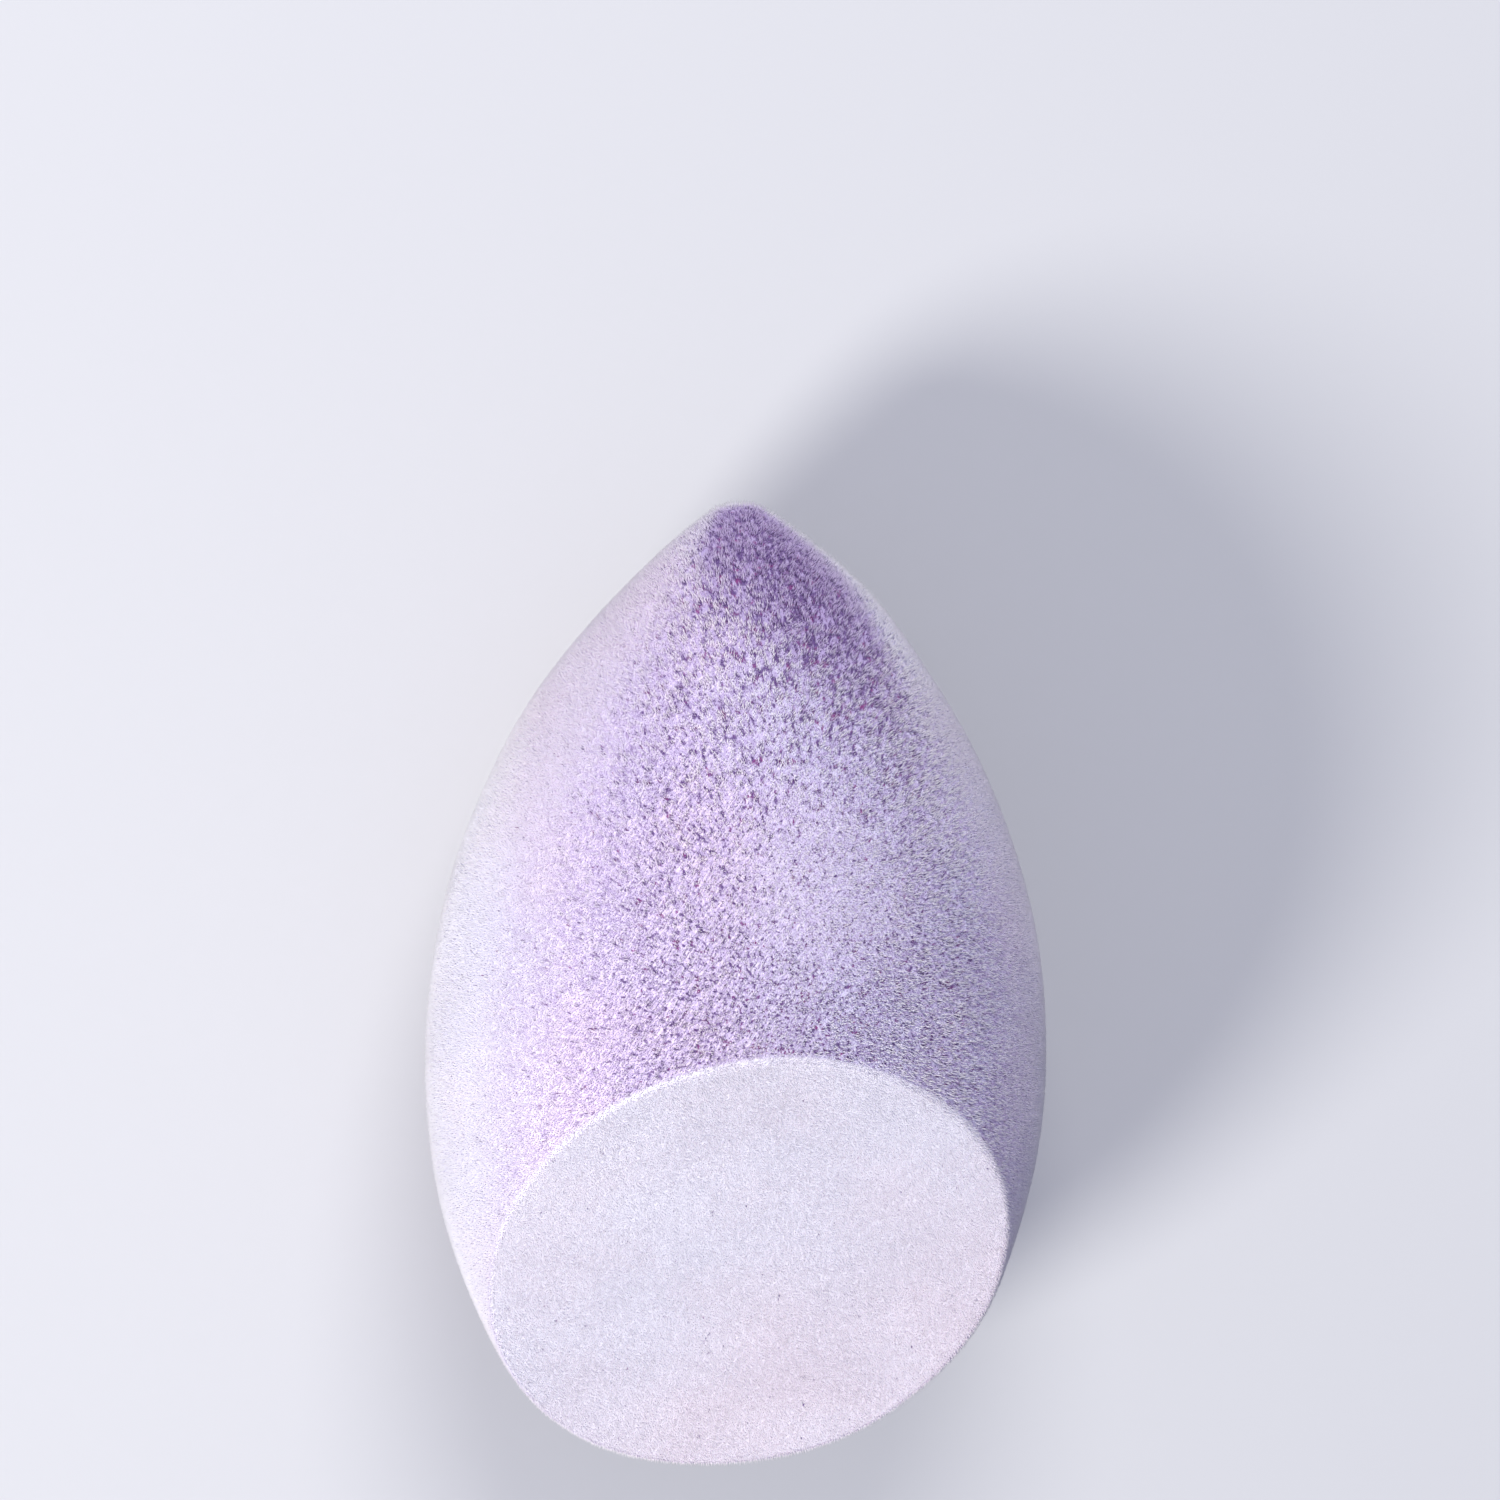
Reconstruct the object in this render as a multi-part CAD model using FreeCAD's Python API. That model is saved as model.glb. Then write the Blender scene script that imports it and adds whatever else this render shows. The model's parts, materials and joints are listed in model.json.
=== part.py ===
import FreeCAD, Part
import math
import os

# A flocked makeup sponge: a foam teardrop with one slanted flat cut, a film of adhesive and a short velvet pile.
# Millimetres and degrees. The sponge lies on its back with the cut looking up: tip towards +Y, +Z up,
# and the origin in the middle of the flat that its weight presses into the pile.

# Foam teardrop
foam_width = 38.5
tip_height = 35.01
tip_radius = 2.83
base_depth = 28.58
base_radius = 14.86

# Slanted cut: the angle from a square cut, and how far the plane lies from the middle of the widest section
cut_angle = 45.0
cut_distance = 13.03
rim_radius = 0.6

# Coats
glue_thickness = 0.15
pile_length = 0.6

# How it lies: the tip droops until the weight is over the flat, and the pile gives way by this share of its length
droop_angle = 8.5
press_share = 0.8

half_width = foam_width / 2
tip_centre = tip_height - tip_radius
base_centre = base_depth - base_radius


def flank_radius(end_centre, end_radius):
    """Radius of the arc that leaves the widest section upright and runs smoothly into a round end."""
    return (end_centre ** 2 + half_width ** 2 - end_radius ** 2) / (2 * (half_width - end_radius))


upper_radius = flank_radius(tip_centre, tip_radius)
lower_radius = flank_radius(base_centre, base_radius)


def on_profile(centre_out, centre_up, radius, angle):
    """A point of the profile on an arc, by its angle from level; the profile lies on the sponge's back."""
    return FreeCAD.Vector(0, centre_out + radius * math.cos(angle), centre_up + radius * math.sin(angle))


def profile_arc(centre_out, centre_up, radius, start, end):
    angles = (start, (start + end) / 2, end)
    points = [on_profile(centre_out, centre_up, radius, angle) for angle in angles]
    return Part.Arc(*points).toShape()


def teardrop(grow):
    """The uncut teardrop, with every point moved out by grow."""
    right_angle = math.pi / 2
    tip_turn = math.atan2(tip_centre, upper_radius - half_width)
    base_turn = math.atan2(base_centre, lower_radius - half_width)
    arcs = [
        profile_arc(0, -base_centre, base_radius + grow, -right_angle, -base_turn),
        profile_arc(half_width - lower_radius, 0, lower_radius + grow, -base_turn, 0),
        profile_arc(half_width - upper_radius, 0, upper_radius + grow, 0, tip_turn),
        profile_arc(0, tip_centre, tip_radius + grow, tip_turn, right_angle),
    ]
    axis = Part.makeLine(arcs[-1].Vertexes[-1].Point, arcs[0].Vertexes[0].Point)
    half_section = Part.Face(Part.Wire(arcs + [axis]))
    return half_section.revolve(FreeCAD.Vector(), FreeCAD.Vector(0, 0, 1), 360)


def cut_normal():
    angle = math.radians(cut_angle)
    return FreeCAD.Vector(0, -math.sin(angle), -math.cos(angle))


def cut_face(shape):
    """The flat face that looks the way the cut does."""
    flats = [face for face in shape.Faces if isinstance(face.Surface, Part.Plane)]
    return max(flats, key=lambda face: face.normalAt(0, 0).dot(cut_normal()))


def cut_teardrop(grow):
    """The teardrop moved out by grow, with its slanted cut; the coats meet at the rim, which keeps its radius."""
    reach = foam_width + tip_height + base_depth
    slab = Part.makeBox(reach, reach, reach, FreeCAD.Vector(-reach / 2, -reach / 2, 0))
    slab.Placement = FreeCAD.Placement(
        cut_normal() * (cut_distance + grow),
        FreeCAD.Rotation(FreeCAD.Vector(0, 0, 1), cut_normal()),
    )
    shape = teardrop(grow).cut(slab)
    return shape.makeFillet(rim_radius, cut_face(shape).Edges)


def face_coat(inner, outer):
    """The coat on the flat cut: a plate between the two flats."""
    outlines = [cut_face(shape).OuterWire for shape in (inner, outer)]
    return Part.makeLoft(outlines, True, True)


def body_coat(inner, outer, plate):
    """The coat on the rounded body and the rim, up to the edge of the plate on the cut."""
    skin = []
    for shape in (inner, outer):
        flat = cut_face(shape)
        skin += [face for face in shape.Faces if not face.isSame(flat)]
    skin += [face for face in plate.Faces if not isinstance(face.Surface, Part.Plane)]
    shell = Part.makeShell(skin)
    shell.sewShape()
    return Part.makeSolid(shell)


def lay_down(shape, grow):
    """Turns the sponge onto its back and sets the pressed flat on the floor, its middle at the origin."""
    droop = math.radians(droop_angle)
    low = on_profile(half_width - upper_radius, 0, upper_radius + grow, droop)
    turn = FreeCAD.Rotation(FreeCAD.Vector(1, 0, 0), -90 - droop_angle)
    rise = FreeCAD.Vector(0, 0, -press_share * pile_length)
    return shape.transformed(FreeCAD.Placement(rise - turn.multVec(low), turn).toMatrix())


def press_flat(shape):
    """Takes off what would lie below the floor."""
    box = shape.BoundBox
    width, length = 2 * box.XLength, 2 * box.YLength
    below = Part.makeBox(width, length, box.ZLength)
    below.translate(FreeCAD.Vector(-width / 2, -length / 2, -box.ZLength))
    return shape.cut(below)


def build():
    coat = glue_thickness + pile_length
    foam = cut_teardrop(0)
    glued = cut_teardrop(glue_thickness)
    flocked = cut_teardrop(coat)
    face_glue = face_coat(foam, glued)
    face_flock = face_coat(glued, flocked)
    nodes = {
        "foam_core": foam,
        "body_glue": body_coat(foam, glued, face_glue),
        "face_glue": face_glue,
        "body_flock": body_coat(glued, flocked, face_flock),
        "face_flock": face_flock,
    }
    nodes = {name: lay_down(shape, coat) for name, shape in nodes.items()}
    nodes["body_flock"] = press_flat(nodes["body_flock"])
    return nodes


os.makedirs("parts", exist_ok=True)
for name, shape in build().items():
    shape.exportStep(f"parts/{name}.step")
    print(name, shape.ShapeType, shape.isValid(), round(shape.Volume, 1))
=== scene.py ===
import json
import math

import bmesh
import bpy
import numpy as np
from mathutils import Matrix, Vector, noise
from mathutils.bvhtree import BVHTree


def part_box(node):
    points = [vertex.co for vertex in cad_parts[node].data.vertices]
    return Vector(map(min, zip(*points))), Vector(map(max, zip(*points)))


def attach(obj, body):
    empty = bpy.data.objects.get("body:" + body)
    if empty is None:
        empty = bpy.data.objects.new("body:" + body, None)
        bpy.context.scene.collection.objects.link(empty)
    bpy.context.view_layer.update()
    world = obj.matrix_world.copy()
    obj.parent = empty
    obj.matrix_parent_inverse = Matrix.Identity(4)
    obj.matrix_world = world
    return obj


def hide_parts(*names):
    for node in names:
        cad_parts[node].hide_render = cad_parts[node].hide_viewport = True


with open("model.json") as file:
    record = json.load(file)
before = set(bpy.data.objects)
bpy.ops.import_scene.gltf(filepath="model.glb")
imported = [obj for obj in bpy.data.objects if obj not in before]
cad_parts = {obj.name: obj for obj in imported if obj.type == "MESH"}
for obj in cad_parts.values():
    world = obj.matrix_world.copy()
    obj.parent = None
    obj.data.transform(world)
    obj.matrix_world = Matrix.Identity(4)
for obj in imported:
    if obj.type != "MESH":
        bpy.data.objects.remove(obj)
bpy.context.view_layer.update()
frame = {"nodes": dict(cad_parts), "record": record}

# A flocked makeup sponge lying on its back: a foam teardrop, a film of adhesive and a short velvet pile.
# Metres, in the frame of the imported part. The tip points to +Y and the slanted cut looks up and to -Y.
MM = 0.001

# Layers, as the solids have them
foam_low, foam_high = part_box("foam_core")
film_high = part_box("body_glue")[1]
pile_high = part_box("body_flock")[1]
FILM = film_high.x - foam_high.x
PILE = pile_high.x - film_high.x
CUT = next(mount for mount in frame["record"]["mounts"] if mount["name"] == "cut_face")
CUT_POINT = np.array(CUT["pos_m"])
CUT_NORMAL = np.array(CUT["axis"])
ACROSS = np.array((1.0, 0.0, 0.0))
SLOPE = np.cross(CUT_NORMAL, ACROSS)
MIDDLE = np.array((0, 0, (foam_low.z + foam_high.z) / 2))

# Skins: rings around the cut, its rim and the body
FINE_RINGS = {"around": 240, "face": 32, "body": 110}
COARSE_RINGS = {"around": 120, "face": 16, "body": 56}
RIM_DEPTHS = tuple(depth * MM for depth in (0.02, 0.08, 0.18, 0.35, 0.65, 1.1))
RIM_START = 0.16 * MM
LEAST_STEP = 0.36 * MM
FAR = 0.1
DENT_SIZE = 9 * MM
DENT_DEPTH = 0.10 * MM
FACE_DENT_SHARE = 0.35
RIM_FACING = (0.84, 0.92)
FACE_FACING = 0.97
FACE_DEPTH = 3 * PILE
FILM_SHEET_SHARE = 0.9
TIP_LEAN = 0.22 * MM
TIP_LEAN_START = 26 * MM
SHOULDER = 0.38 * MM
SHOULDER_PLACE = 27 * MM
SHOULDER_REACH = 6 * MM
SHOULDER_SIDE = (0.2, 0.8)

# Velvet: a dense mass of fibres, with painted shade in its gaps where it opens, and the fibre ends that stand
# out of it
MASS_LEVELS = 1
MASS_SHARE = 0.52
FACE_RISE = 0.12
GRAIN_SIZE = 0.40 * MM
GRAIN_SHARE = 0.10
ENDS_SPACING = 0.086 * MM
ENDS_PER_SQUARE_METRE = 200e6
END_RADIUS = 0.052 * MM
END_RADIUS_SPREAD = (0.8, 1.2)
END_ROOT_SHARE = 0.06
LENGTH_SPREAD = 0.30
STRAY_LEAN = 0.25
NAP_SIZE = 7 * MM
NAP_LEAN = 0.60
RIM_FRINGE = 0.35
FRINGE_FACING = (0.6, 0.8)
FLAT_FACING = (0.999, 0.98)
FLOOR_GAP = 0.02 * MM
UPPER_STRETCHES = 4
LOWER_STRETCHES = 6
STRETCH_MARGIN = 0.5
NOISE_MIDDLE = 0.5

# Random draws: how far apart the seeds of two stretches are, and what each kind of draw adds to a seed
SEED_STEP = 10
DRAW = {"lean": 1, "spin": 2, "warmth": 3, "length": 4, "radius": 5, "dark": 6}

# Streaks: clumps of taller and shorter ends, drawn out along lines from a crown above the sponge
CROWN = (0, 4 * MM, 52 * MM)
CROWN_REACH = 15 * MM
STREAK = 0.42
CLUMP_SCALE = 6500.0
CLUMP_HEIGHT = 0.8
CLUMP_DETAIL = 3.0
CLUMP_ROUGHNESS = 0.6
SWELL_OPEN = (-0.10, 0.02)
# Painted shade in the gaps of the mass: the size of its noise, and where the lilac turns to the dark gap
# colour
GAP_SHADE_SCALE = 4300.0
GAP_SHADE_BAND = (0.37, 0.49)

# Where the pile opens, which gives it more painted shade: less on the cut, its rim and the flanks, most on
# top of the tip
FACE_OPEN = -0.13
RIM_BAND = (-0.48 * MM, -0.20 * MM)
TIP_OPEN = 0.10
TIP_BAND = (19.5 * MM, 32 * MM)
TIP_SLANT = 0.6
TIP_SIDE = (0.95, 0.25)
TIP_UPPER = (-0.25, 0.40)
FLANK_OPEN = -0.09
LIT_SIDE = (-0.28, -0.82)
SHADED_SIDE = (0.50, 0.88)
PALE_OPEN = -0.04
PALE_PLACE = (2.5 * MM, 11 * MM, 36.1 * MM)
PALE_REACH = (2 * MM, 9 * MM)

# How dark the ends are, all of it painted shade: by clump where the pile opens, and evenly at the tip and on
# the flanks
DARK_SHARE = 0.95
DARK_BY_OPEN = 7.0
DARK_CLUMP = (0.57, 0.41)
DARK_SPREAD = (0.6, 1.0)
UPRIGHT = (0.3, 0.75)
TIP_SHADE = 0.50
LEFT_FLANK_SHADE = 0.19
LEFT_SHADE_SIDE = (-0.22, -0.50)
EDGE_SIDE = (-0.97, -0.80)
RIGHT_FLANK_SHADE = 0.20

# How warm the lilac is, from 0 to 1, partly painted pink bounce light, and the bands that an end's warmth and
# darkness share in its map
WARM_SHARE = 0.65
PINK_LIGHT_SIDE = (4 * MM, -6 * MM)
PINK_LIGHT_END = (-18 * MM, -13 * MM)
PINK_LIGHT_FACE = (-6 * MM, 16 * MM)
TINT_SIZE = 8 * MM
TINT_PATCHES = (0.3, 0.7)
TINT_BANDS = 3
BAND_MARGIN = 0.1
BAND_CHANCE = 0.99
BAKE_WIDTH = 0.02

# Colours: the two of a pair are mixed, in the pile from cool to warm
ENDS_PALE = (0.91, 0.88, 0.93), (0.92, 0.86, 0.89)
# The ends' roots are darker than their tips: painted shade down in the pile
ENDS_ROOT = (0.78, 0.74, 0.90), (0.85, 0.73, 0.88)
# Painted shade on the ends: purple where they are somewhat dark, deep where darkest
ENDS_PURPLE = (0.61, 0.48, 0.75)
ENDS_DEEP = (0.30, 0.19, 0.42)
MASS_LILAC = (0.84, 0.82, 0.99), (0.92, 0.80, 0.97)
# Painted light: the mass paler on the cut and, partly, on the left flank
MASS_LIT_PALE = (0.93, 0.91, 0.97), (0.95, 0.88, 0.95)
MASS_TIP_SHADE = (0.50, 0.35, 0.62)
MASS_CLUMP_SHADE = (0.58, 0.47, 0.74)
MASS_GAP_SHADE = (0.17, 0.10, 0.28), (0.30, 0.07, 0.26)
FILM_TONES = (0.48, 0.30, 0.50), (0.66, 0.48, 0.66)
FOAM_TONES = (0.36, 0.24, 0.44), (0.66, 0.54, 0.76)
FLOOR_TONE = (0.62, 0.62, 0.63)
SKY_TONE = (0.69, 0.74, 1.0)
SKY_STRENGTH = 0.49

# Where colours change, much of it painted light and shade: up an end, by how dark it is, by how open the pile
# is, and by noise in the gaps
PALE_UP = (0.0, 0.7)
PURPLE_BAND = (0.10, 0.60)
DEEP_BAND = (0.45, 0.90)
LIT_PALE_BAND = (-0.05, -0.13)
CLUMP_SHADE_BAND = (-0.10, 0.06)
GAP_HUE_SCALE = 1500.0
GAP_HUE_BAND = (0.50, 0.70)

# Finishes
FLOCK_SPECULAR = 0.25
FLOCK_SHEEN = 0.15
FLOCK_SHEEN_ROUGHNESS = 0.5
ENDS_ROUGHNESS = (0.9, 0.7)
MASS_ROUGHNESS = 0.9
CLUMP_RELIEF = 4.0
RELIEF_DEPTH = 0.03 * MM
FILM_ROUGHNESS = 0.55
FILM_SPECKLE_SCALE = 900.0
FILM_SPECKLE_DETAIL = 3.0
FOAM_ROUGHNESS = 0.9
CELL_SCALE = 2200.0
CELL_RELIEF = 0.6
CELL_DEPTH = 0.1 * MM
FLOOR_ROUGHNESS = 0.9

# Floor and lamps, in metres and watts
FLOOR_HALF = 1.5
LAMPS = {
    "front": {"place": (-0.425, -0.240, 0.430), "power": 3.45, "size": 0.20, "colour": (1.0, 0.985, 0.95)},
    "back": {"place": (-0.045, 0.449, 0.500), "power": 2.4, "size": 0.30, "colour": (1.0, 0.985, 0.97)},
}

# Camera
PICTURE_SENSOR = 36.0
LENS = 167.83
NEAREST_SEEN = 10 * MM
CAMERA_AIM = Vector((0.628, 16.167, 16.962)) * MM
CAMERA_OFFSET = Vector((-81.674, 65.41, 437.665)) * MM
CAMERA_UP = Vector((-0.0155, 0.9885, -0.1506))


def new_object(name, data):
    piece = bpy.data.objects.new(name, data)
    bpy.context.scene.collection.objects.link(piece)
    return piece


def applied(piece):
    """The mesh that an object's modifiers make, as plain mesh data."""
    graph = bpy.context.evaluated_depsgraph_get()
    graph.update()
    return bpy.data.meshes.new_from_object(piece.evaluated_get(graph))


def places(mesh):
    flat = np.empty(len(mesh.vertices) * 3, np.float32)
    mesh.vertices.foreach_get("co", flat)
    return flat.reshape(-1, 3).astype(float)


def directions(mesh):
    flat = np.empty(len(mesh.vertices) * 3, np.float32)
    mesh.vertex_normals.foreach_get("vector", flat)
    return flat.reshape(-1, 3).astype(float)


def move_to(mesh, points):
    mesh.vertices.foreach_set("co", points.astype(np.float32).ravel())
    mesh.update()


def rise(values, low, high):
    """A smooth step from 0 at low to 1 at high."""
    share = np.clip((values - low) / (high - low), 0, 1)
    return share * share * (3 - 2 * share)


def solid_skin(nodes):
    """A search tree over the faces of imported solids, and how far above the cut's mount they reach."""
    corners, faces = [], []
    for node in nodes:
        mesh = frame["nodes"][node].data
        start = len(corners)
        corners += [tuple(vertex.co) for vertex in mesh.vertices]
        faces += [[start + number for number in face.vertices] for face in mesh.polygons]
    top = ((np.array(corners) - CUT_POINT) @ CUT_NORMAL).max()
    return BVHTree.FromPolygons(corners, faces), top


def outermost(tree, start, way):
    """The last point of the solids on a line that leaves start."""
    return np.array(tree.ray_cast(Vector(start + FAR * way), Vector(-way))[0])


def turned(start, end, share):
    """A direction between two others."""
    angle = math.acos(start @ end)
    return (math.sin((1 - share) * angle) * start + math.sin(share * angle) * end) / math.sin(angle)


def rings_of(nodes, around, face, body):
    """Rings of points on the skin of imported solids: over the cut, around its rim and down to the back."""
    tree, top = solid_skin(nodes)
    middle = CUT_POINT + top * CUT_NORMAL
    turns = [math.tau * number / around for number in range(around)]
    ways = [math.cos(turn) * ACROSS + math.sin(turn) * SLOPE for turn in turns]
    rim = []
    for depth in RIM_DEPTHS:
        below = middle - depth * CUT_NORMAL
        rim.append(np.array([outermost(tree, below, way) for way in ways]))
    reach = [(point - middle) @ way - RIM_START for point, way in zip(rim[0], ways)]
    flat = np.array([middle + length * way for length, way in zip(reach, ways)])
    rings = [middle + (flat - middle) * (row + 1) / face for row in range(face)] + rim
    starts = [(point - MIDDLE) / np.linalg.norm(point - MIDDLE) for point in rim[-1]]
    back = (MIDDLE - middle) / np.linalg.norm(MIDDLE - middle)
    for row in range(1, body):
        lines = [turned(start, back, row / body) for start in starts]
        rings.append(np.array([outermost(tree, MIDDLE, line) for line in lines]))
    return middle, rings, outermost(tree, MIDDLE, back)


def thinned(ring):
    """A ring with every other point left out for as long as its points lie closer than the least step."""
    length = np.linalg.norm(ring - np.roll(ring, 1, 0), axis=1).sum()
    while len(ring) % 2 == 0 and length / len(ring) < LEAST_STEP:
        ring = ring[::2]
    return ring


def between(first, second, start, end):
    """Faces from a ring of points to the next one, which has as many points, or twice or half as many."""
    faces = []
    for number in range(max(first, second)):
        after = number + 1
        if first == second:
            faces.append((start + number, end + number, end + after % second, start + after % first))
        elif number < min(first, second):
            few, many, count = (start, end, second) if first < second else (end, start, first)
            near, middle, far = many + 2 * number, many + 2 * number + 1, many + (2 * number + 2) % count
            here, there = few + number, few + after % min(first, second)
            corners = [(here, near, middle), (here, middle, there), (there, middle, far)]
            faces += corners if first < second else [corner[::-1] for corner in corners]
    return faces


def soft_skin(nodes, around, face, body):
    """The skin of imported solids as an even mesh, with slight dents, a leaning tip and a fuller shoulder."""
    top, rings, bottom = rings_of(nodes, around, face, body)
    rings = [np.array([top])] + [thinned(ring) for ring in rings] + [np.array([bottom])]
    starts = np.cumsum([0] + [len(ring) for ring in rings])
    faces = []
    for number in range(1, len(rings) - 2):
        sizes = len(rings[number]), len(rings[number + 1])
        faces += between(*sizes, int(starts[number]), int(starts[number + 1]))
    for number in range(len(rings[1])):
        faces.append((0, 1 + number, 1 + (number + 1) % len(rings[1])))
    last = int(starts[-3])
    for number in range(len(rings[-2])):
        faces.append((last + number, int(starts[-2]), last + (number + 1) % len(rings[-2])))
    mesh = bpy.data.meshes.new("skin")
    mesh.from_pydata(np.concatenate(rings).tolist(), [], faces)
    points, normals = places(mesh), directions(mesh)
    lift = np.array([DENT_DEPTH * noise.noise(Vector(point) / DENT_SIZE) for point in points])
    lift *= 1 - (1 - FACE_DENT_SHARE) * rise(normals @ CUT_NORMAL, *RIM_FACING)
    points += normals * lift[:, None]
    points[:, 0] -= TIP_LEAN * rise(points[:, 1], TIP_LEAN_START, foam_high.y)
    away = np.abs(points[:, 1] - SHOULDER_PLACE)
    points[:, 0] += SHOULDER * rise(away, SHOULDER_REACH, 0) * rise(normals[:, 0], *SHOULDER_SIDE)
    move_to(mesh, points)
    mesh.shade_smooth()
    return mesh


def grown(mesh, distance):
    copy = mesh.copy()
    move_to(copy, places(mesh) + directions(mesh) * distance)
    return copy


def part_of(mesh, keep, name):
    """A copy of a mesh with only the faces that keep says, by face number."""
    copy = mesh.copy()
    copy.name = name
    shape = bmesh.new()
    shape.from_mesh(copy)
    shape.faces.ensure_lookup_table()
    gone = [face for face in shape.faces if not keep[face.index]]
    bmesh.ops.delete(shape, geom=gone, context="FACES")
    shape.to_mesh(copy)
    shape.free()
    return copy


def face_data(mesh):
    count = len(mesh.polygons)
    centres, normals = np.empty(count * 3, np.float32), np.empty(count * 3, np.float32)
    mesh.polygons.foreach_get("center", centres)
    mesh.polygons.foreach_get("normal", normals)
    return centres.reshape(-1, 3).astype(float), normals.reshape(-1, 3).astype(float)


def add(tree, kind, links=None, **settings):
    """Adds a node, sets its properties, and links or fills its inputs by name or number."""
    node = tree.nodes.new(kind)
    for key, value in settings.items():
        setattr(node, key, value)
    for key, value in (links or {}).items():
        if isinstance(value, bpy.types.NodeSocket):
            tree.links.new(value, node.inputs[key])
        else:
            node.inputs[key].default_value = value
    return node


def ramp(tree, value, low, high, start=0.0, end=1.0):
    """A smooth step from start at low to end at high, as a node."""
    links = {0: value, 1: low, 2: high, 3: start, 4: end}
    return add(tree, "ShaderNodeMapRange", links, interpolation_type="SMOOTHSTEP").outputs[0]


def fanned(tree, place):
    """Places drawn together along lines from the crown, so that noise there makes streaks."""
    fan = add(tree, "ShaderNodeVectorMath", {0: place, 1: CROWN}, operation="SUBTRACT").outputs[0]
    far = add(tree, "ShaderNodeVectorMath", {0: fan}, operation="LENGTH").outputs["Value"]
    far = add(tree, "ShaderNodeMath", {0: far, 1: CROWN_REACH}, operation="DIVIDE").outputs[0]
    shrink = add(tree, "ShaderNodeMath", {0: far, 1: STREAK - 1}, operation="POWER").outputs[0]
    return add(tree, "ShaderNodeVectorMath", {0: fan, "Scale": shrink}, operation="SCALE").outputs[0]


def streaks(tree, fan, scale):
    """Noise over fanned places."""
    return add(tree, "ShaderNodeTexNoise", {
        "Vector": fan, "Scale": scale, "Detail": CLUMP_DETAIL, "Roughness": CLUMP_ROUGHNESS,
    }).outputs["Fac"]


def fibre_end():
    """One bundle of fibre ends, 1 long and 1 in radius at its root: a closed three-sided spike."""
    angles = [math.tau * side / 3 for side in range(3)]
    corners = [(math.cos(angle), math.sin(angle), 0) for angle in angles] + [(0, 0, 1)]
    mesh = bpy.data.meshes.new("fibre_end")
    mesh.from_pydata(corners, [], [(2, 1, 0), (0, 1, 3), (1, 2, 3), (2, 0, 3)])
    for name, axis in (("across", 0), ("up", 2)):
        values = [vertex.co[axis] for vertex in mesh.vertices]
        mesh.attributes.new(name, "FLOAT", "POINT").data.foreach_set("value", values)
    mesh.shade_smooth()
    return new_object("fibre_end", mesh)


class Nodes:
    """Short names for the nodes that a geometry tree is written with."""

    def __init__(self, tree):
        self.tree = tree
        self.given = add(tree, "NodeGroupInput").outputs
        self.place = add(tree, "GeometryNodeInputPosition").outputs[0]
        self.normal = add(tree, "GeometryNodeInputNormal").outputs[0]

    def vector(self, operation, first, second=None):
        links = {0: first}
        if second is not None:
            links["Scale" if operation == "SCALE" else 1] = second
        node = add(self.tree, "ShaderNodeVectorMath", links, operation=operation)
        return node.outputs["Value" if operation in ("DOT_PRODUCT", "LENGTH") else 0]

    def number(self, operation, first, second, third=0.0):
        links = {0: first, 1: second, 2: third}
        return add(self.tree, "ShaderNodeMath", links, operation=operation).outputs[0]

    def ramp(self, value, low, high, start=0.0, end=1.0):
        return ramp(self.tree, value, low, high, start, end)

    def chance(self, low, high, offset):
        links = {2: low, 3: high, "Seed": self.number("ADD", self.given["Seed"], offset)}
        return add(self.tree, "FunctionNodeRandomValue", links, data_type="FLOAT").outputs[1]

    def stray(self, offset):
        links = {0: (-1, -1, -1), 1: (1, 1, 1), "Seed": self.number("ADD", self.given["Seed"], offset)}
        return add(self.tree, "FunctionNodeRandomValue", links, data_type="FLOAT_VECTOR").outputs[0]

    def field(self, size):
        """Noise with features of about this size."""
        place = self.vector("SCALE", self.place, self.number("DIVIDE", 1.0, size))
        return add(self.tree, "ShaderNodeTexNoise", {"Vector": place, "Scale": 1.0, "Detail": 1.0}).outputs

    def stored(self, geometry, name, value, kind="FLOAT", domain="POINT"):
        links = {"Geometry": geometry, "Name": name, "Value": value}
        settings = {"data_type": kind, "domain": domain}
        return add(self.tree, "GeometryNodeStoreNamedAttribute", links, **settings).outputs[0]

    def named(self, name, kind="FLOAT"):
        return add(self.tree, "GeometryNodeInputNamedAttribute", {"Name": name}, data_type=kind).outputs[0]

    def held(self, geometry):
        """The geometry with nothing below the level called Floor."""
        where = add(self.tree, "ShaderNodeSeparateXYZ", {0: self.place}).outputs
        height = self.number("MAXIMUM", where["Z"], self.given["Floor"])
        above = add(self.tree, "ShaderNodeCombineXYZ", {"X": where["X"], "Y": where["Y"], "Z": height})
        links = {"Geometry": geometry, "Position": above.outputs[0]}
        return add(self.tree, "GeometryNodeSetPosition", links).outputs[0]

    def moved(self, geometry, offset):
        return add(self.tree, "GeometryNodeSetPosition", {"Geometry": geometry, "Offset": offset}).outputs[0]


def new_tree(name, source, inputs, result):
    """A geometry tree with named inputs, and the short names to write it with."""
    tree = bpy.data.node_groups.new(name, "GeometryNodeTree")
    tree.is_modifier = True
    tree.interface.new_socket(source, in_out="INPUT", socket_type="NodeSocketGeometry")
    for label, kind in inputs.items():
        tree.interface.new_socket(label, in_out="INPUT", socket_type=f"NodeSocket{kind}")
    tree.interface.new_socket(result, in_out="OUTPUT", socket_type="NodeSocketGeometry")
    return tree, Nodes(tree)


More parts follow.
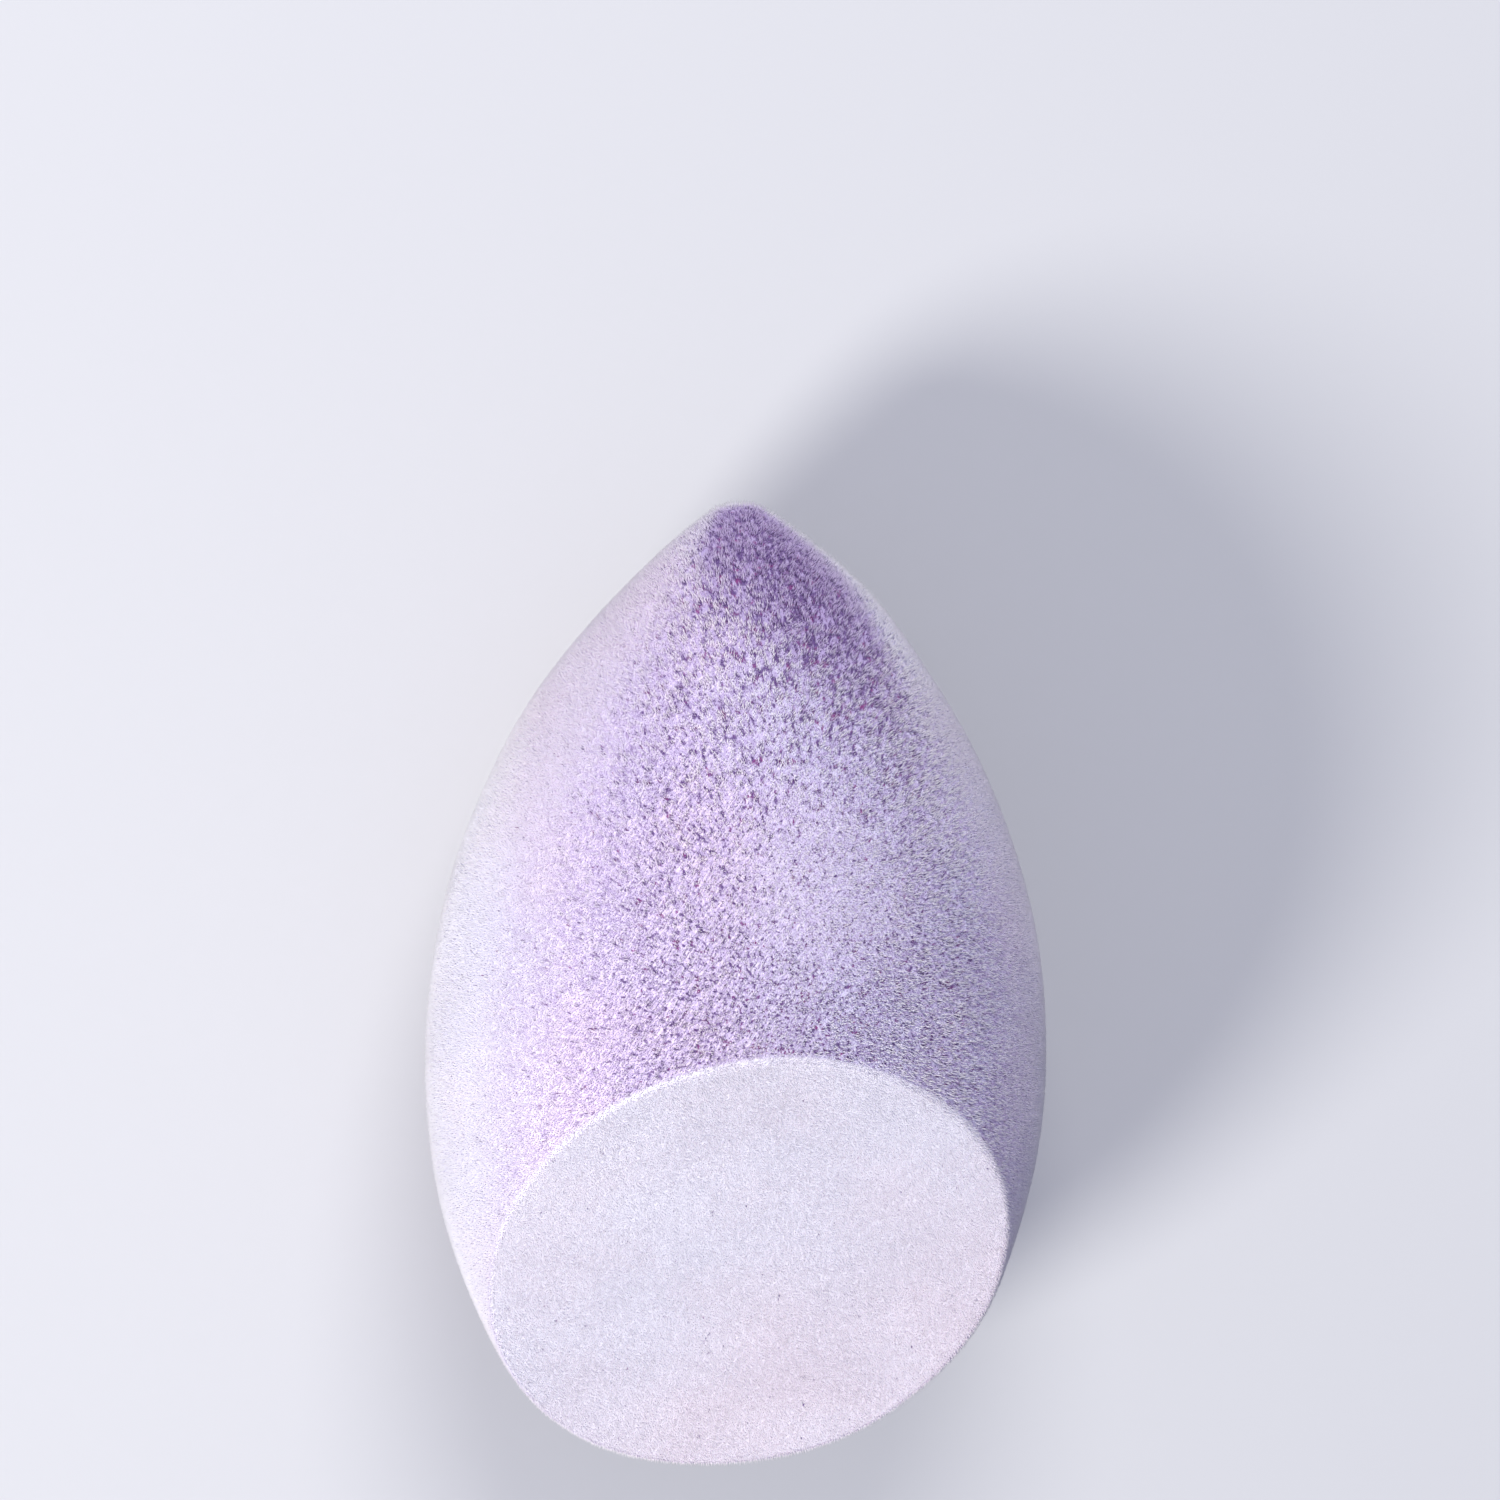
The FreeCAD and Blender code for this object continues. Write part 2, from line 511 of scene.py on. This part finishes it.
def mass_tree():
    """Sets the mass of fibres below the pile's outer skin and marks where it opens, and its tint with painted
    pink light.
    """
    tree, nodes = new_tree("fibre_mass", "Skin", {
        "Pile": "Float", "Mass Share": "Float", "Grain Size": "Float", "Grain Share": "Float",
        "Tint Size": "Float", "Floor": "Float",
    }, "Mass")
    given, vector, number = nodes.given, nodes.vector, nodes.number
    fine = add(tree, "GeometryNodeSubdivisionSurface", {
        "Mesh": given["Skin"], "Level": MASS_LEVELS,
    }).outputs[0]
    fine = nodes.stored(fine, "outward", nodes.normal, kind="FLOAT_VECTOR")
    outward = nodes.named("outward", kind="FLOAT_VECTOR")
    level = vector("DOT_PRODUCT", vector("SUBTRACT", nodes.place, tuple(CUT_POINT)), tuple(CUT_NORMAL))
    on_face = nodes.ramp(level, *RIM_BAND)
    where = add(tree, "ShaderNodeSeparateXYZ", {0: nodes.place}).outputs
    facing = add(tree, "ShaderNodeSeparateXYZ", {0: outward}).outputs
    # How much painted shade the body gets: most on top of the tip, less on both flanks and on a paler patch
    to_tip = number("MULTIPLY_ADD", where["X"], TIP_SLANT, where["Y"])
    body_shade = nodes.ramp(to_tip, *TIP_BAND, 0.0, TIP_OPEN)
    body_shade = number("MULTIPLY", body_shade, nodes.ramp(facing["X"], *TIP_SIDE))
    body_shade = number("MULTIPLY", body_shade, nodes.ramp(facing["Z"], *TIP_UPPER))
    # Less painted gap shade on both flanks: the left one facing the front lamp, the right one on the shaded
    # side
    flank = number("ADD", nodes.ramp(facing["X"], *LIT_SIDE), nodes.ramp(facing["X"], *SHADED_SIDE))
    body_shade = number("MULTIPLY", body_shade, number("SUBTRACT", 1.0, flank))
    body_shade = number("MULTIPLY_ADD", flank, FLANK_OPEN, body_shade)
    apart = vector("LENGTH", vector("SUBTRACT", nodes.place, PALE_PLACE))
    body_shade = number("ADD", body_shade, nodes.ramp(apart, *PALE_REACH, PALE_OPEN, 0.0))
    fine = nodes.stored(fine, "open", number("MULTIPLY_ADD", on_face, FACE_OPEN, body_shade))
    grain = number("SUBTRACT", nodes.field(given["Grain Size"])["Fac"], NOISE_MIDDLE)
    height = number("MULTIPLY_ADD", grain, given["Grain Share"], given["Mass Share"])
    fine = nodes.stored(fine, "along", number("MULTIPLY_ADD", on_face, FACE_RISE, height))
    up_face = vector("DOT_PRODUCT", vector("SUBTRACT", nodes.place, tuple(CUT_POINT)), tuple(SLOPE))
    # Painted pink bounce light: warmer on the left of the body and the lower right of the cut
    pink_light_body = number("MULTIPLY", nodes.ramp(where["X"], *PINK_LIGHT_SIDE), nodes.ramp(where["X"], *PINK_LIGHT_END))
    pink_light_face = nodes.ramp(number("SUBTRACT", where["X"], up_face), *PINK_LIGHT_FACE)
    warm = add(tree, "ShaderNodeMix", {"Factor": on_face, 2: pink_light_body, 3: pink_light_face}).outputs[0]
    patches = nodes.ramp(nodes.field(given["Tint Size"])["Fac"], *TINT_PATCHES)
    patches = number("MULTIPLY", patches, 1 - WARM_SHARE)
    fine = nodes.stored(fine, "tint", number("MULTIPLY_ADD", warm, WARM_SHARE, patches))
    depth = number("MULTIPLY", number("SUBTRACT", nodes.named("along"), 1.0), given["Pile"])
    mass = nodes.moved(fine, vector("SCALE", outward, depth))
    add(tree, "NodeGroupOutput", {"Mass": nodes.held(mass)})
    return tree


def stretch_tree():
    """Keeps one stretch of the mass."""
    tree, nodes = new_tree("stretch", "Mass", {"Stretch": "Int", "Material": "Material"}, "Part")
    chosen = nodes.number("COMPARE", nodes.named("stretch"), nodes.given["Stretch"], STRETCH_MARGIN)
    kept = add(tree, "GeometryNodeSeparateGeometry", {
        "Geometry": nodes.given["Mass"], "Selection": chosen,
    }, domain="FACE").outputs[0]
    kept = add(tree, "GeometryNodeSetMaterial", {
        "Geometry": kept, "Material": nodes.given["Material"],
    }).outputs[0]
    add(tree, "NodeGroupOutput", {"Part": kept})
    return tree


def ends_tree():
    """Sets fibre ends on a stretch of the mass, each darkened by its share of painted shade."""
    tree, nodes = new_tree("fibre_ends", "Mass", {
        "Pile": "Float", "Spacing": "Float", "Density": "Float", "Radius": "Float", "Stray Lean": "Float",
        "Nap Size": "Float", "Nap Lean": "Float", "Floor": "Float", "Seed": "Int", "Fibre End": "Object",
        "Material": "Material",
    }, "Ends")
    given, vector, number = nodes.given, nodes.vector, nodes.number
    outward, along = nodes.named("outward", kind="FLOAT_VECTOR"), nodes.named("along")
    points = add(tree, "GeometryNodeDistributePointsOnFaces", {
        "Mesh": given["Mass"], "Distance Min": given["Spacing"], "Density Max": given["Density"],
        "Seed": given["Seed"],
    }, distribute_method="POISSON").outputs["Points"]
    nap = vector("SUBTRACT", nodes.field(given["Nap Size"])["Color"], (NOISE_MIDDLE,) * 3)
    lean = vector("ADD", vector("SCALE", nodes.stray(DRAW["lean"]), given["Stray Lean"]),
                  vector("SCALE", nap, given["Nap Lean"]))
    upright = vector("NORMALIZE", vector("ADD", outward, lean))
    stance = add(tree, "FunctionNodeAlignRotationToVector", {"Vector": upright}, axis="Z").outputs[0]
    spin = add(tree, "FunctionNodeAxisAngleToRotation", {
        "Axis": (0, 0, 1), "Angle": nodes.chance(0.0, math.tau, DRAW["spin"]),
    }).outputs[0]
    stance = add(tree, "FunctionNodeRotateRotation", {
        "Rotation": stance, "Rotate By": spin,
    }, rotation_space="LOCAL").outputs[0]
    clumps = streaks(tree, fanned(tree, nodes.place), CLUMP_SCALE)
    facing = add(tree, "ShaderNodeSeparateXYZ", {0: outward}).outputs
    # Painted shade on the ends: darker by clump where the pile opens and faces up
    dark = number("MULTIPLY_ADD", nodes.named("open"), DARK_BY_OPEN, DARK_SHARE)
    dark = number("MULTIPLY", number("MAXIMUM", dark, 0.0), nodes.ramp(facing["Z"], *UPRIGHT))
    dark = number("MULTIPLY", dark, nodes.ramp(clumps, *DARK_CLUMP))
    dark = number("MULTIPLY", dark, nodes.chance(*DARK_SPREAD, DRAW["dark"]))
    dark = number("ADD", dark, nodes.ramp(nodes.named("open"), 0.0, TIP_OPEN, 0.0, TIP_SHADE))
    # Painted shade: the left flank darker short of its bright edge, and the right flank, on the shaded side,
    # darker
    flank = number("MULTIPLY", nodes.ramp(facing["X"], *LEFT_SHADE_SIDE), nodes.ramp(facing["X"], *EDGE_SIDE))
    dark = number("MULTIPLY_ADD", flank, LEFT_FLANK_SHADE, dark)
    dark = number("ADD", dark, nodes.ramp(facing["X"], *SHADED_SIDE, 0.0, RIGHT_FLANK_SHADE))
    either_band = nodes.chance(0.0, BAND_CHANCE, DRAW["warmth"])
    warm = number("MULTIPLY_ADD", nodes.named("tint"), TINT_BANDS - 1, either_band)
    mixed = number("MULTIPLY_ADD", number("MINIMUM", dark, 1.0), 1 - 2 * BAND_MARGIN, BAND_MARGIN)
    mixed = number("DIVIDE", number("ADD", number("FLOOR", warm, 0.0), mixed), TINT_BANDS)
    points = nodes.stored(points, "tint", mixed)
    sunk = number("MULTIPLY", given["Pile"], -END_ROOT_SHARE)
    points = nodes.moved(points, vector("SCALE", outward, sunk))
    share = number("SUBTRACT", 1.0 + END_ROOT_SHARE, along)
    uneven = nodes.chance(1 - LENGTH_SPREAD / 2, 1 + LENGTH_SPREAD / 2, DRAW["length"])
    share = number("MULTIPLY", share, uneven)
    swell = number("MULTIPLY", nodes.ramp(clumps, *DARK_CLUMP, CLUMP_HEIGHT, -CLUMP_HEIGHT),
                   nodes.ramp(nodes.named("open"), *SWELL_OPEN))
    share = number("MULTIPLY", share, number("ADD", swell, 1.0))
    to_cut = vector("DOT_PRODUCT", outward, tuple(CUT_NORMAL))
    fringe = number("MULTIPLY", nodes.ramp(to_cut, *FRINGE_FACING), nodes.ramp(to_cut, *FLAT_FACING))
    share = number("MULTIPLY", share, number("MULTIPLY_ADD", fringe, RIM_FRINGE, 1.0))
    points = nodes.stored(points, "reach", share)
    thick = number("MULTIPLY", given["Radius"], nodes.chance(*END_RADIUS_SPREAD, DRAW["radius"]))
    size = add(tree, "ShaderNodeCombineXYZ", {
        "X": thick, "Y": thick, "Z": number("MULTIPLY", nodes.named("reach"), given["Pile"]),
    }).outputs[0]
    end = add(tree, "GeometryNodeObjectInfo", {"Object": given["Fibre End"]}).outputs["Geometry"]
    ends = add(tree, "GeometryNodeInstanceOnPoints", {
        "Points": points, "Instance": end, "Rotation": stance, "Scale": size,
    }).outputs[0]
    ends = add(tree, "GeometryNodeRealizeInstances", {"Geometry": ends}).outputs[0]
    ends = nodes.held(ends)
    column = number("ADD", nodes.named("tint"), BAKE_WIDTH)
    column = number("MULTIPLY_ADD", nodes.named("across"), BAKE_WIDTH, column)
    map_place = add(tree, "ShaderNodeCombineXYZ", {"X": column, "Y": nodes.named("up")}).outputs[0]
    ends = nodes.stored(ends, "OFBake", map_place, kind="FLOAT2", domain="CORNER")
    ends = add(tree, "GeometryNodeSetShadeSmooth", {"Geometry": ends}).outputs[0]
    ends = add(tree, "GeometryNodeSetMaterial", {"Geometry": ends, "Material": given["Material"]}).outputs[0]
    add(tree, "NodeGroupOutput", {"Ends": ends})
    return tree


def grow(tree, start, name, values):
    """What a geometry tree makes of a mesh, as a plain mesh."""
    piece = new_object(name, start)
    modifier = piece.modifiers.new("grow", "NODES")
    modifier.node_group = tree
    for item in tree.interface.items_tree:
        if item.in_out == "INPUT" and item.name in values:
            modifier[item.identifier] = values[item.name]
    mesh = applied(piece)
    piece.modifiers.clear()
    piece.data = mesh
    mesh.name = name
    return piece


def drop(mesh, names):
    """Takes working values off a finished mesh."""
    for name in names:
        if name in mesh.attributes:
            mesh.attributes.remove(mesh.attributes[name])


def new_material(name):
    material = bpy.data.materials.new(name)
    material.use_nodes = True
    tree = material.node_tree
    shader = next(node for node in tree.nodes if node.type == "BSDF_PRINCIPLED")
    return material, tree, shader


def mix_colours(tree, share, low, high):
    """A mix of two colours or colour sockets; its sockets go by number, because their names repeat."""
    node = add(tree, "ShaderNodeMix", {"Factor": share}, data_type="RGBA")
    for number, value in ((6, low), (7, high)):
        if isinstance(value, bpy.types.NodeSocket):
            tree.links.new(value, node.inputs[number])
        else:
            node.inputs[number].default_value = (*value, 1)
    return node.outputs[2]


def soften(shader):
    shader.inputs["Specular IOR Level"].default_value = FLOCK_SPECULAR
    shader.inputs["Sheen Weight"].default_value = FLOCK_SHEEN
    shader.inputs["Sheen Roughness"].default_value = FLOCK_SHEEN_ROUGHNESS


def ends_material():
    material, tree, shader = new_material("flock_ends")
    up = add(tree, "ShaderNodeAttribute", attribute_name="up").outputs["Fac"]
    tint = add(tree, "ShaderNodeAttribute", attribute_name="tint").outputs["Fac"]
    scaled = add(tree, "ShaderNodeMath", {0: tint, 1: TINT_BANDS}, operation="MULTIPLY").outputs[0]
    warm = add(tree, "ShaderNodeMath", {0: scaled}, operation="FLOOR").outputs[0]
    warm = add(tree, "ShaderNodeMath", {0: warm, 1: TINT_BANDS - 1}, operation="DIVIDE").outputs[0]
    dark = add(tree, "ShaderNodeMath", {0: scaled}, operation="FRACT").outputs[0]
    pale = mix_colours(tree, warm, *ENDS_PALE)
    root = mix_colours(tree, warm, *ENDS_ROOT)
    # Painted shade: darker towards the root of an end
    colour = mix_colours(tree, ramp(tree, up, *PALE_UP), root, pale)
    colour = mix_colours(tree, ramp(tree, dark, *PURPLE_BAND), colour, ENDS_PURPLE)
    colour = mix_colours(tree, ramp(tree, dark, *DEEP_BAND), colour, ENDS_DEEP)
    tree.links.new(colour, shader.inputs["Base Color"])
    rough = add(tree, "ShaderNodeMapRange", {0: up, 3: ENDS_ROUGHNESS[0], 4: ENDS_ROUGHNESS[1]}).outputs[0]
    tree.links.new(rough, shader.inputs["Roughness"])
    soften(shader)
    return material


def mass_material():
    material, tree, shader = new_material("flock")
    where = add(tree, "ShaderNodeTexCoord").outputs["Object"]
    tint = add(tree, "ShaderNodeAttribute", attribute_name="tint").outputs["Fac"]
    opened = add(tree, "ShaderNodeAttribute", attribute_name="open").outputs["Fac"]
    fan = fanned(tree, where)
    gap_shade_noise, clumps = streaks(tree, fan, GAP_SHADE_SCALE), streaks(tree, fan, CLUMP_SCALE)
    # Painted shade: a dark colour in the gaps of the pile, more of it where the pile opens
    gaps = add(tree, "ShaderNodeMath", {0: gap_shade_noise, 1: opened}, operation="SUBTRACT").outputs[0]
    lilac = mix_colours(tree, tint, *MASS_LILAC)
    lilac = mix_colours(tree, ramp(tree, opened, 0.0, TIP_OPEN), lilac, MASS_TIP_SHADE)
    # Painted light: paler where the pile is most closed, on the cut
    pale = mix_colours(tree, tint, *MASS_LIT_PALE)
    lilac = mix_colours(tree, ramp(tree, opened, *LIT_PALE_BAND), lilac, pale)
    closed = ramp(tree, gaps, *GAP_SHADE_BAND)
    # Painted shade between clumps where the pile opens
    clump_shade = add(tree, "ShaderNodeMath", {
        0: ramp(tree, clumps, *DARK_CLUMP), 1: ramp(tree, opened, *CLUMP_SHADE_BAND),
    }, operation="MULTIPLY").outputs[0]
    lilac = mix_colours(tree, clump_shade, lilac, MASS_CLUMP_SHADE)
    hues = add(tree, "ShaderNodeTexNoise", {"Vector": where, "Scale": GAP_HUE_SCALE}).outputs["Fac"]
    deep = mix_colours(tree, ramp(tree, hues, *GAP_HUE_BAND), *MASS_GAP_SHADE)
    colour = mix_colours(tree, closed, deep, lilac)
    tree.links.new(colour, shader.inputs["Base Color"])
    shader.inputs["Roughness"].default_value = MASS_ROUGHNESS
    relief = add(tree, "ShaderNodeMath", {
        0: clumps, 1: CLUMP_RELIEF, 2: closed,
    }, operation="MULTIPLY_ADD").outputs[0]
    bump = add(tree, "ShaderNodeBump", {"Height": relief, "Strength": 1.0, "Distance": RELIEF_DEPTH})
    tree.links.new(bump.outputs[0], shader.inputs["Normal"])
    soften(shader)
    return material


def film_material():
    material, tree, shader = new_material("adhesive")
    where = add(tree, "ShaderNodeTexCoord").outputs["Object"]
    speckle = add(tree, "ShaderNodeTexNoise", {
        "Vector": where, "Scale": FILM_SPECKLE_SCALE, "Detail": FILM_SPECKLE_DETAIL,
    })
    colour = mix_colours(tree, speckle.outputs["Fac"], *FILM_TONES)
    tree.links.new(colour, shader.inputs["Base Color"])
    shader.inputs["Roughness"].default_value = FILM_ROUGHNESS
    return material


def foam_material():
    material, tree, shader = new_material("foam")
    where = add(tree, "ShaderNodeTexCoord").outputs["Object"]
    cells = add(tree, "ShaderNodeTexVoronoi", {"Vector": where, "Scale": CELL_SCALE}).outputs["Distance"]
    colour = mix_colours(tree, cells, *FOAM_TONES)
    tree.links.new(colour, shader.inputs["Base Color"])
    shader.inputs["Roughness"].default_value = FOAM_ROUGHNESS
    bump = add(tree, "ShaderNodeBump", {"Height": cells, "Strength": CELL_RELIEF, "Distance": CELL_DEPTH})
    tree.links.new(bump.outputs[0], shader.inputs["Normal"])
    return material


def on_cut(mesh):
    """Which faces of a skin lie on the flat cut."""
    centres, normals = face_data(mesh)
    level = (centres - CUT_POINT) @ CUT_NORMAL
    return (normals @ CUT_NORMAL > FACE_FACING) & (level > -FACE_DEPTH)


def mark_stretches(mesh):
    """Numbers the stretches of the skin that the velvet is made in, and returns their names."""
    centres = face_data(mesh)[0]
    around = np.arctan2(centres[:, 0], centres[:, 2] - MIDDLE[2])
    face = on_cut(mesh)
    stretch = np.where(centres[:, 0] < 0, 0, 1)
    names = ["face_left", "face_right"]
    quarter = math.pi / 2
    for name, start, count in (("upper", -quarter, UPPER_STRETCHES), ("lower", quarter, LOWER_STRETCHES)):
        turn = (around - start) % math.tau
        inside = ~face & (turn < math.pi)
        stretch[inside] = len(names) + (turn[inside] * count / math.pi).astype(int)
        names += [f"{name}_{number + 1}" for number in range(count)]
    mesh.attributes.new("stretch", "INT", "FACE").data.foreach_set("value", stretch.astype(np.int32))
    return names


def film_sheet(skin, keep, name, material):
    """A stretch of the film of adhesive, with its thickness."""
    sheet = new_object(name, part_of(skin, keep, name))
    sheet.data.materials.append(material)
    solidify = sheet.modifiers.new("thickness", "SOLIDIFY")
    solidify.thickness = FILM * FILM_SHEET_SHARE
    solidify.offset = -1
    mesh = applied(sheet)
    sheet.modifiers.clear()
    sheet.data = mesh
    return sheet


def declare(piece, node):
    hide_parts(node)
    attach(piece, "root")


def build_sponge():
    coarse = soft_skin(["foam_core"], **COARSE_RINGS)
    film = film_material()
    film_skin = grown(coarse, FILM)
    face = on_cut(film_skin)
    declare(film_sheet(film_skin, ~face, "film_body", film), "body_glue")
    declare(film_sheet(film_skin, face, "film_face", film), "face_glue")

    coarse.materials.append(foam_material())
    core = new_object("foam_teardrop", coarse)
    declare(core, "foam_core")

    skin = soft_skin(["body_flock", "face_flock"], **FINE_RINGS)
    names = mark_stretches(skin)
    whole = grow(mass_tree(), skin, "fibre_mass", {
        "Pile": PILE, "Mass Share": MASS_SHARE, "Grain Size": GRAIN_SIZE, "Grain Share": GRAIN_SHARE,
        "Tint Size": TINT_SIZE, "Floor": FLOOR_GAP,
    })
    end = fibre_end()
    cutting, growing = stretch_tree(), ends_tree()
    mass_flock, ends_flock = mass_material(), ends_material()
    for number, name in enumerate(names):
        node = "face_flock" if "face" in name else "body_flock"
        mass = grow(cutting, whole.data, f"mass_{name}", {"Stretch": number, "Material": mass_flock})
        ends = grow(growing, mass.data, f"ends_{name}", {
            "Pile": PILE, "Spacing": ENDS_SPACING, "Density": ENDS_PER_SQUARE_METRE, "Radius": END_RADIUS,
            "Stray Lean": STRAY_LEAN, "Nap Size": NAP_SIZE, "Nap Lean": NAP_LEAN, "Floor": FLOOR_GAP,
            "Seed": SEED_STEP * number, "Fibre End": end, "Material": ends_flock,
        })
        drop(mass.data, ("outward", "along", "stretch"))
        drop(ends.data, ("outward", "along", "stretch", "open", "reach", "across"))
        declare(mass, node)
        declare(ends, node)
    bpy.data.objects.remove(end)
    bpy.data.objects.remove(whole)


def add_camera():
    data = bpy.data.cameras.new("camera")
    data.lens = LENS
    data.sensor_width = PICTURE_SENSOR
    data.clip_start = NEAREST_SEEN
    camera = new_object("camera", data)
    back = CAMERA_OFFSET.normalized()
    right = CAMERA_UP.cross(back).normalized()
    turn = Matrix((right, back.cross(right), back)).transposed()
    camera.matrix_world = Matrix.Translation(CAMERA_AIM + CAMERA_OFFSET) @ turn.to_4x4()
    bpy.context.scene.camera = camera


def add_lamp(name, place, power, size, colour):
    data = bpy.data.lights.new(name, "AREA")
    data.energy = power
    data.shape = "DISK"
    data.size = size
    data.color = colour
    lamp = new_object(name, data)
    lamp.location = place
    lamp.rotation_euler = (CAMERA_AIM - Vector(place)).to_track_quat("-Z", "Y").to_euler()


def add_stage():
    mesh = bpy.data.meshes.new("floor")
    half = FLOOR_HALF
    corners = [(-half, -half, 0), (half, -half, 0), (half, half, 0), (-half, half, 0)]
    mesh.from_pydata(corners, [], [(0, 1, 2, 3)])
    floor = new_object("floor", mesh)
    material, tree, shader = new_material("floor")
    shader.inputs["Base Color"].default_value = (*FLOOR_TONE, 1)
    shader.inputs["Roughness"].default_value = FLOOR_ROUGHNESS
    mesh.materials.append(material)
    world = bpy.data.worlds.new("world")
    world.use_nodes = True
    background = next(node for node in world.node_tree.nodes if node.type == "BACKGROUND")
    background.inputs["Color"].default_value = (*SKY_TONE, 1)
    background.inputs["Strength"].default_value = SKY_STRENGTH
    bpy.context.scene.world = world
    for name, settings in LAMPS.items():
        add_lamp(name, **settings)


build_sponge()
add_stage()
add_camera()
bpy.context.scene.view_settings.view_transform = "Standard"
